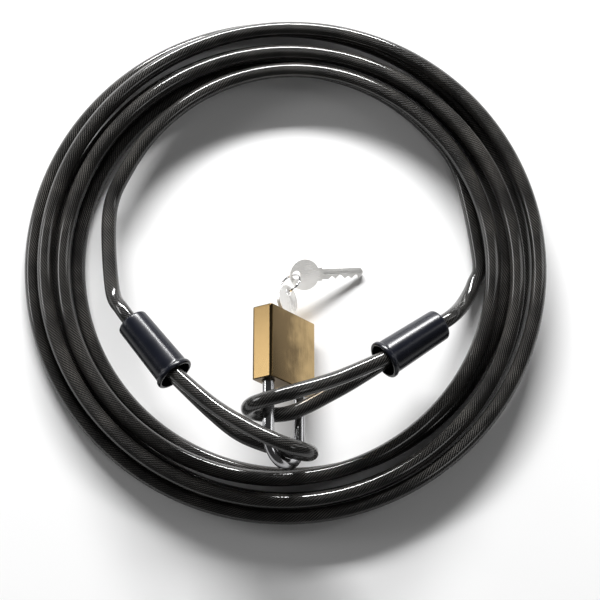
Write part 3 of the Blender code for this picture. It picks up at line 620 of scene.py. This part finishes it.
def key_2_matrix():
    """Key 2 hangs on the ring a little further round, its blade pointing right and down to the floor."""
    place = HOLE_1 + RING_AWAY * RING_R + RING_R * (math.cos(KEY_2_RING) * RING_AWAY
                                                    + math.sin(KEY_2_RING) * RING_SIDE)
    along = Vector((0.95, 0.10, -0.25)).normalized()
    face = along.cross(Vector((0.10, 0.93, 0.33))).normalized()
    turn = Matrix((face.cross(along), face, along)).transposed().to_4x4()
    return Matrix.Translation(place) @ turn @ Matrix.Translation((-MIDDLE, 0, -KEY_HOLE_Z))


KEY_2 = key_2_matrix()
keys = [carved(name, key_mesh(), key_tools(), body, [node], place=matrix, bevel=KEY_BEVEL)
        for name, matrix, body, node in (("cut_key_1", KEY_1, "key", "key_1"),
                                         ("cut_key_2", KEY_2, "spare_key", "key_2"))]
print("keys:", [len(key.data.polygons) for key in keys], "faces")

# %% [markdown]
# ## The split ring
# The ring is a flat double coil of wire. Its line goes round twice, first on one side and then, after a
# short step across, on the other, so the two turns lie against each other.

# %% split ring
RING_WIRE_R, RING_START, RING_SHORT = 0.285, 2.4, 0.06
RING_STEP, RING_STEP_TURN = 0.31, 0.7


def split_ring_line():
    """Centre + R (cos t away + sin t side) + step(t) axis, for t over nearly two turns."""
    t = np.linspace(RING_SHORT, 2 * math.tau - RING_SHORT, 240) + RING_START
    step = RING_STEP * (2 * ease((t - RING_START - math.tau) / RING_STEP_TURN + 0.5) - 1)
    centre = HOLE_1 + RING_AWAY * RING_R
    axis = RING_AWAY.cross(RING_SIDE)
    return (np.array(centre) + RING_R * (np.cos(t)[:, None] * np.array(RING_AWAY)
                                         + np.sin(t)[:, None] * np.array(RING_SIDE))
            + step[:, None] * np.array(axis)), np.array(axis)


ring_line, ring_axis = split_ring_line()
split_ring = grid_piece("split_ring", sweep(ring_line, RING_WIRE_R, 14, ring_axis) * MM, "ring",
                        ["key_ring"])
print("split ring:", len(split_ring.data.polygons), "faces")

# %% [markdown]
# ## Springs
# A compression spring's wire climbs steadily, but its first and last turns lie flat so that it stands
# square. The latch's spring is squeezed as the latch draws back, and the shackle's stretches between the
# body and the rising heel.

# %% springs
def spring_line(radius, length, turns, points_a_turn=32):
    """(r cos t, r sin t, h), where h rises over all turns but three quarters of one at each end."""
    turn = np.linspace(0.0, turns, round(turns * points_a_turn) + 1)
    rise = np.clip((turn - 0.75) / (turns - 1.5), 0.0, 1.0)
    return np.stack([radius * np.cos(math.tau * turn), radius * np.sin(math.tau * turn), length * rise], 1)


def along_x(x_low, z):
    """Local Z laid along the padlock's X, from x_low at height z."""
    return PADLOCK @ Matrix.Translation((x_low, 0, z)) @ Matrix(((0, 0, 1), (0, 1, 0), (-1, 0, 0))).to_4x4()


def spring_piece(name, line, wire, matrix, node, body="lock"):
    """Wire of that radius along the line, carried to its place by the matrix."""
    tube = sweep(line, wire, 10, (0.0, 0.0, 1.0))
    return grid_piece(name, placed(tube, matrix), body, [node])


GAP, SEAT = 0.3, 0.4                # free space at a spring's end, and from there to its wire's middle
CAM_R, LATCH_TAIL = 2.97, 2.6       # the cam pin's place on the cylinder, and the latch's length behind it
LATCH_SPRING_R, LATCH_SPRING_TURNS, LATCH_WIRE_R = 1.8, 5.0, 0.35
HEEL_SPRING_R, HEEL_SPRING_TURNS, HEEL_WIRE_R = 2.3, 6.0, 0.4
PIN_SPRING_R, PIN_SPRING_TURNS, PIN_WIRE_R = 1.1, 5.5, 0.2
CHAMBER_END, DRIVER_PLAY, DRIVER_LENGTH = -15.0, 0.1, 5.0

latch_rear = PLUG_X - CAM_R * math.sin(math.pi / 4) + LATCH_TAIL
channel_end = CHANNEL_X + CHANNEL_W / 2
latch_middle = sum(LATCH_Z) / 2
latch_spring_length = channel_end - latch_rear - 2 * (GAP + SEAT)
latch_coil = spring_piece("latch_coil", spring_line(LATCH_SPRING_R, latch_spring_length, LATCH_SPRING_TURNS),
                          LATCH_WIRE_R, along_x(latch_rear + GAP + SEAT, latch_middle), "latch_spring")
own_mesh(latch_coil)

heel_spring_length = HEEL_END - HEEL_BORE_FLOOR - 2 * (GAP + SEAT)
heel_spring_place = PADLOCK @ Matrix.Translation((LEG_X, 0, HEEL_BORE_FLOOR + GAP + SEAT))
shackle_coil = spring_piece("shackle_coil", spring_line(HEEL_SPRING_R, heel_spring_length, HEEL_SPRING_TURNS),
                            HEEL_WIRE_R, heel_spring_place, "shackle_spring", body=None)
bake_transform(shackle_coil)

pin_spring_low = CHAMBER_END + GAP + PIN_WIRE_R
pin_spring_high = PLUG_X - PLUG_BORE_R - DRIVER_PLAY - DRIVER_LENGTH - GAP - PIN_WIRE_R
pin_spring = spring_line(PIN_SPRING_R, pin_spring_high - pin_spring_low, PIN_SPRING_TURNS)
pin_coils = [spring_piece(f"pin_coil_{number}", pin_spring, PIN_WIRE_R, along_x(pin_spring_low, z),
                          f"pin_spring_{number}") for number, z in enumerate(PIN_Z, start=1)]
springs = [latch_coil, shackle_coil, *pin_coils]
print("springs:", len(springs))


# %% [markdown]
# ## A small kit for finishes
# Every finish below is a handful of shader nodes. `Finish` keeps the links short to write: it makes a
# Principled shader, and most of its helpers add one node and return its output.

# %% finish helper
class Finish:
    def __init__(self, name, metallic=0.0, roughness=0.5, **sockets):
        self.material = bpy.data.materials.new(name)
        self.material.use_nodes = True
        self.nodes = self.material.node_tree.nodes
        self.links = self.material.node_tree.links
        self.shader = self.nodes["Principled BSDF"]
        self.shader.inputs["Metallic"].default_value = metallic
        self.shader.inputs["Roughness"].default_value = roughness
        for socket, value in sockets.items():
            self.shader.inputs[socket.replace("_", " ")].default_value = value

    def node(self, kind, output=0, /, inputs=(), **settings):
        made = self.nodes.new(kind)
        for name, value in settings.items():
            setattr(made, name, value)
        for socket, value in dict(inputs).items():
            if isinstance(value, bpy.types.NodeSocket):
                self.links.new(value, made.inputs[socket])
            else:
                made.inputs[socket].default_value = value
        return made.outputs[output]

    def place(self):
        return self.node("ShaderNodeTexCoord", "Object")

    def part(self, vector, index):
        return self.node("ShaderNodeSeparateXYZ", index, inputs={0: vector})

    def maths(self, operation, *values):
        return self.node("ShaderNodeMath", inputs=dict(enumerate(values)), operation=operation)

    def noise(self, vector, scale, detail, roughness=0.5):
        return self.node("ShaderNodeTexNoise", "Fac",
                         inputs={"Vector": vector, "Scale": scale, "Detail": detail, "Roughness": roughness})

    def remap(self, value, low, high, from_low=0.0, from_high=1.0):
        return self.node("ShaderNodeMapRange", inputs={0: value, 1: from_low, 2: from_high, 3: low, 4: high})

    def ramp(self, value, *stops):
        ramp = self.nodes.new("ShaderNodeValToRGB")
        self.links.new(value, ramp.inputs["Fac"])
        while len(ramp.color_ramp.elements) < len(stops):
            ramp.color_ramp.elements.new(0.5)
        for element, (place, colour) in zip(ramp.color_ramp.elements, stops):
            element.position = place
            element.color = (*colour, 1.0)
        return ramp.outputs["Color"]

    def local(self, matrix, stretch=(1.0, 1.0, 1.0)):
        """Object coordinates turned into a piece's own frame, then stretched along its axes."""
        origin, turn, _ = matrix.decompose()
        own = self.node("ShaderNodeMapping", vector_type="TEXTURE", inputs={
            "Vector": self.place(), "Location": origin * MM, "Rotation": turn.to_euler()})
        return self.node("ShaderNodeMapping", inputs={"Vector": own, "Scale": stretch})

    def colour(self, output):
        self.links.new(output, self.shader.inputs["Base Color"])

    def rough(self, output):
        self.links.new(output, self.shader.inputs["Roughness"])

    def bump(self, height, distance, strength, layer="Normal"):
        relief = self.node("ShaderNodeBump", inputs={"Height": height, "Strength": strength,
                                                     "Distance": distance})
        self.links.new(relief, self.shader.inputs[layer])

    def on(self, *pieces):
        for piece in pieces:
            piece.data.materials.clear()
            piece.data.materials.append(self.material)


# %% [markdown]
# ## Smoked vinyl over stranded wire
# The coat is clear, smoked dark, and glossy. Under it fine strands twist round the rope, and each
# strand's wires lean the other way, so the rope looks braided. The pattern is worked out from the UV map:
# eighteen crowns round the rope that travel a turn every 36 mm, crossed by finer lines. The wires shape the
# lower layer. A clear coat on top gives the long bright streaks, and a trace of the wires shows in it too.

# %% vinyl
STRANDS, STRAND_LAY = 18.0, 0.036
WIRES_ROUND, WIRES_PER_METRE = 30.0, 620.0

vinyl = Finish("smoked_vinyl", Specular_IOR_Level=0.12, Coat_Weight=1.0, Coat_Roughness=0.11, Coat_IOR=1.5)
uv = vinyl.node("ShaderNodeUVMap", uv_map="along")
along, around = vinyl.part(uv, 0), vinyl.part(uv, 1)


def wire_waves(per_metre, per_turn):
    """|sin(pi (a s + b v))|: a crown for each wire, with a sharp valley between neighbours."""
    phase = vinyl.maths("ADD", vinyl.maths("MULTIPLY", along, per_metre * math.pi),
                        vinyl.maths("MULTIPLY", around, per_turn * math.pi))
    return vinyl.maths("ABSOLUTE", vinyl.maths("SINE", phase))


strands = vinyl.maths("POWER", wire_waves(-STRANDS / STRAND_LAY, STRANDS), 0.55)
wires = vinyl.maths("POWER", wire_waves(WIRES_PER_METRE, WIRES_ROUND), 0.7)
rope = vinyl.maths("MULTIPLY", strands, vinyl.remap(wires, 0.55, 1.0))
haze = vinyl.noise(vinyl.place(), 60.0, 2.0)
shade = vinyl.maths("MULTIPLY", rope, vinyl.remap(haze, 0.75, 1.15))
vinyl.colour(vinyl.ramp(shade, (0.0, (0.0005, 0.0005, 0.0005)), (0.50, (0.002, 0.002, 0.002)),
                        (0.82, (0.014, 0.013, 0.012)), (1.0, (0.150, 0.140, 0.125))))
vinyl.rough(vinyl.remap(haze, 0.28, 0.42))
vinyl.bump(rope, 0.00035, 0.8)
vinyl.bump(rope, 0.000012, 0.8, "Coat Normal")
vinyl.on(cable, *eyes.values())
print("vinyl on", 1 + len(eyes), "pieces")

# %% [markdown]
# ## Sleeve plastic
# Satin, bluish black, with the faint grain of a moulded surface.

# %% sleeve plastic
plastic = Finish("sleeve_plastic", Specular_IOR_Level=0.38)
grain = plastic.noise(plastic.place(), 2600.0, 2.0)
cloud = plastic.noise(plastic.place(), 90.0, 3.0)
plastic.colour(plastic.ramp(cloud, (0.3, (0.004, 0.005, 0.009)), (0.7, (0.007, 0.008, 0.014))))
plastic.rough(plastic.remap(cloud, 0.19, 0.32))
plastic.bump(grain, 0.00003, 0.5)
plastic.on(*sleeve_skins)

# %% [markdown]
# ## Brushed brass
# Drawn and linished brass has very fine lines along its length. Noise stretched about thirty times along
# the padlock's own Z gives them. They vary the roughness and stand out by about a hundredth of a millimetre.
# Broad soft clouds darken the colour where handling has tarnished it, and a painted reflection grades the
# body's colour along the padlock's X, dark towards the toe and light towards the heel.

# %% brass
CLOUD_SCALE = 70.0


def brushed_metal(name, matrix, stretch, dark, light, rough=(0.2, 0.34), line_scale=4200.0,
                  relief=0.000012, metallic=1.0, painted_reflection=0.0, reflection_from=0.0):
    """Fine lines along the direction that the stretch shortens, over broad clouds of tone.

    A painted reflection adds tone by the metre along the piece's own X, counted from a given point on it:
    darker at one edge, lighter at the other."""
    metal = Finish(name, metallic=metallic)
    lines = metal.noise(metal.local(matrix, stretch), line_scale, 4.0, 0.6)
    cloud = metal.noise(metal.local(matrix), CLOUD_SCALE, 4.0, 0.55)
    tone = metal.maths("ADD", metal.maths("MULTIPLY", lines, 0.35), metal.maths("MULTIPLY", cloud, 0.65))
    # painted reflection: tone graded along the piece's own X, darker at one edge and lighter at the other
    if painted_reflection:
        reflection_offset = metal.maths("SUBTRACT", metal.part(metal.local(matrix), 0), reflection_from)
        tone = metal.maths("ADD", tone, metal.maths("MULTIPLY", reflection_offset, painted_reflection))
    metal.colour(metal.ramp(tone, (0.32, dark), (0.62, light)))
    metal.rough(metal.remap(tone, rough[1], rough[0], 0.3, 0.7))
    metal.bump(lines, relief, 0.6)
    return metal


def model_pieces(*names):
    return [bpy.data.objects[name] for name in names]


# The body gets a painted reflection: its tone runs from dark towards the toe to light towards the heel.
brushed_metal("brushed_brass", PADLOCK, (1.0, 1.0, 0.03), (0.165, 0.112, 0.050), (0.50, 0.355, 0.17),
              rough=(0.09, 0.17), painted_reflection=14.0, reflection_from=0.006).on(brass_body)
brushed_metal("turned_brass", PADLOCK, (1.0, 1.0, 1.0), (0.50, 0.32, 0.12), (0.80, 0.56, 0.22),
              line_scale=1500.0).on(*model_pieces("lock_plug", "latch_bolt"))

# %% [markdown]
# ## Plated steel, nickel and spring wire
# The shackle is plated steel, a little dark, and the ring is brighter. Both have the faintest lines from
# polishing. The keys are nickel plated, paler and duller, and the wire of the springs is drawn steel.

# %% bright metals
for name, piece, dark, light in (("plated_steel", shackle_rod, (0.34, 0.34, 0.35), (0.50, 0.50, 0.51)),
                                 ("ring_steel", split_ring, (0.60, 0.60, 0.61), (0.80, 0.80, 0.81))):
    stretch = (1.0, 1.0, 0.08 if piece is shackle_rod else 1.0)
    brushed_metal(name, PADLOCK, stretch, dark, light, rough=(0.10, 0.20), line_scale=2600.0,
                  relief=0.000004).on(piece)
for name, piece, matrix in (("key_nickel_1", keys[0], KEY_1), ("key_nickel_2", keys[1], KEY_2)):
    brushed_metal(name, matrix, (1.0, 1.0, 0.06), (0.72, 0.71, 0.68), (0.90, 0.89, 0.87), rough=(0.22, 0.34),
                  line_scale=3000.0, metallic=0.3).on(piece)
brushed_metal("pin_nickel", PADLOCK, (0.1, 1.0, 1.0), (0.55, 0.52, 0.45), (0.80, 0.77, 0.70)).on(
    *model_pieces(*(f"{kind}_pin_{number}" for kind in ("key", "driver") for number in range(1, 5))))
brushed_metal("drawn_steel", PADLOCK, (1.0, 0.1, 1.0), (0.40, 0.41, 0.43), (0.62, 0.63, 0.65)).on(
    *model_pieces("shackle_pin", "plug_pin"), *springs)
brushed_metal("pressed_alloy", PADLOCK, (1.0, 1.0, 1.0), (0.52, 0.53, 0.55), (0.74, 0.75, 0.76),
              rough=(0.35, 0.5), line_scale=900.0).on(*model_pieces("left_ferrule", "right_ferrule"))

# %% [markdown]
# ## Floor and light
# The lock lies on plain white paper. Nearly all the light comes from one long soft panel beyond the coil,
# so shadows fall towards the camera, inside the far side of the ring and below the near side. Weak panels at
# the sides and above put streaks on the coat and the metals, and the surround is dim, which keeps the vinyl
# dark.

# %% floor and light
FLOOR_HALF, FLOOR_Z = 3.0, -0.0001
floor_corners = [(x, y, FLOOR_Z) for x, y in ((-FLOOR_HALF, -FLOOR_HALF), (FLOOR_HALF, -FLOOR_HALF),
                                              (FLOOR_HALF, FLOOR_HALF), (-FLOOR_HALF, FLOOR_HALF))]
floor_mesh = bpy.data.meshes.new("paper")
floor_mesh.from_pydata(floor_corners, [], [(0, 1, 2, 3)])
floor = bpy.data.objects.new("paper", floor_mesh)
bpy.context.scene.collection.objects.link(floor)
paper = Finish("white_paper", roughness=0.6)
mottle = paper.noise(paper.place(), 8.0, 2.0)
paper.colour(paper.ramp(mottle, (0.3, (0.91, 0.91, 0.91)), (0.7, (0.93, 0.93, 0.93))))
paper.on(floor)


def panel(name, place, target, size, watts):
    """A soft rectangular light, aimed from a place at a target."""
    light = bpy.data.lights.new(name, "AREA")
    light.shape, light.size, light.size_y, light.energy = "RECTANGLE", size[0], size[1], watts
    lamp = bpy.data.objects.new(name, light)
    bpy.context.scene.collection.objects.link(lamp)
    lamp.location = place
    lamp.rotation_euler = (Vector(target) - Vector(place)).to_track_quat("-Z", "Y").to_euler()


COIL_MIDDLE = (0.0, 0.04, 0.01)
panel("far_panel", (-0.15, 1.85, 0.87), COIL_MIDDLE, (1.5, 0.24), 106.0)
panel("right_panel", (1.1, 0.35, 0.6), COIL_MIDDLE, (0.25, 0.9), 1.5)
panel("left_panel", (-1.2, 0.30, 0.45), COIL_MIDDLE, (0.5, 0.30), 3.0)
panel("top_panel", (0.78, -0.64, 1.15), COIL_MIDDLE, (0.4, 0.4), 1.2)
scene_world = bpy.data.worlds.new("surround")
bpy.context.scene.world = scene_world
scene_world.use_nodes = True
surround = scene_world.node_tree.nodes["Background"]
surround.inputs["Color"].default_value = (1.0, 1.0, 1.0, 1.0)
surround.inputs["Strength"].default_value = 0.06
bpy.context.scene.view_settings.view_transform = "Standard"
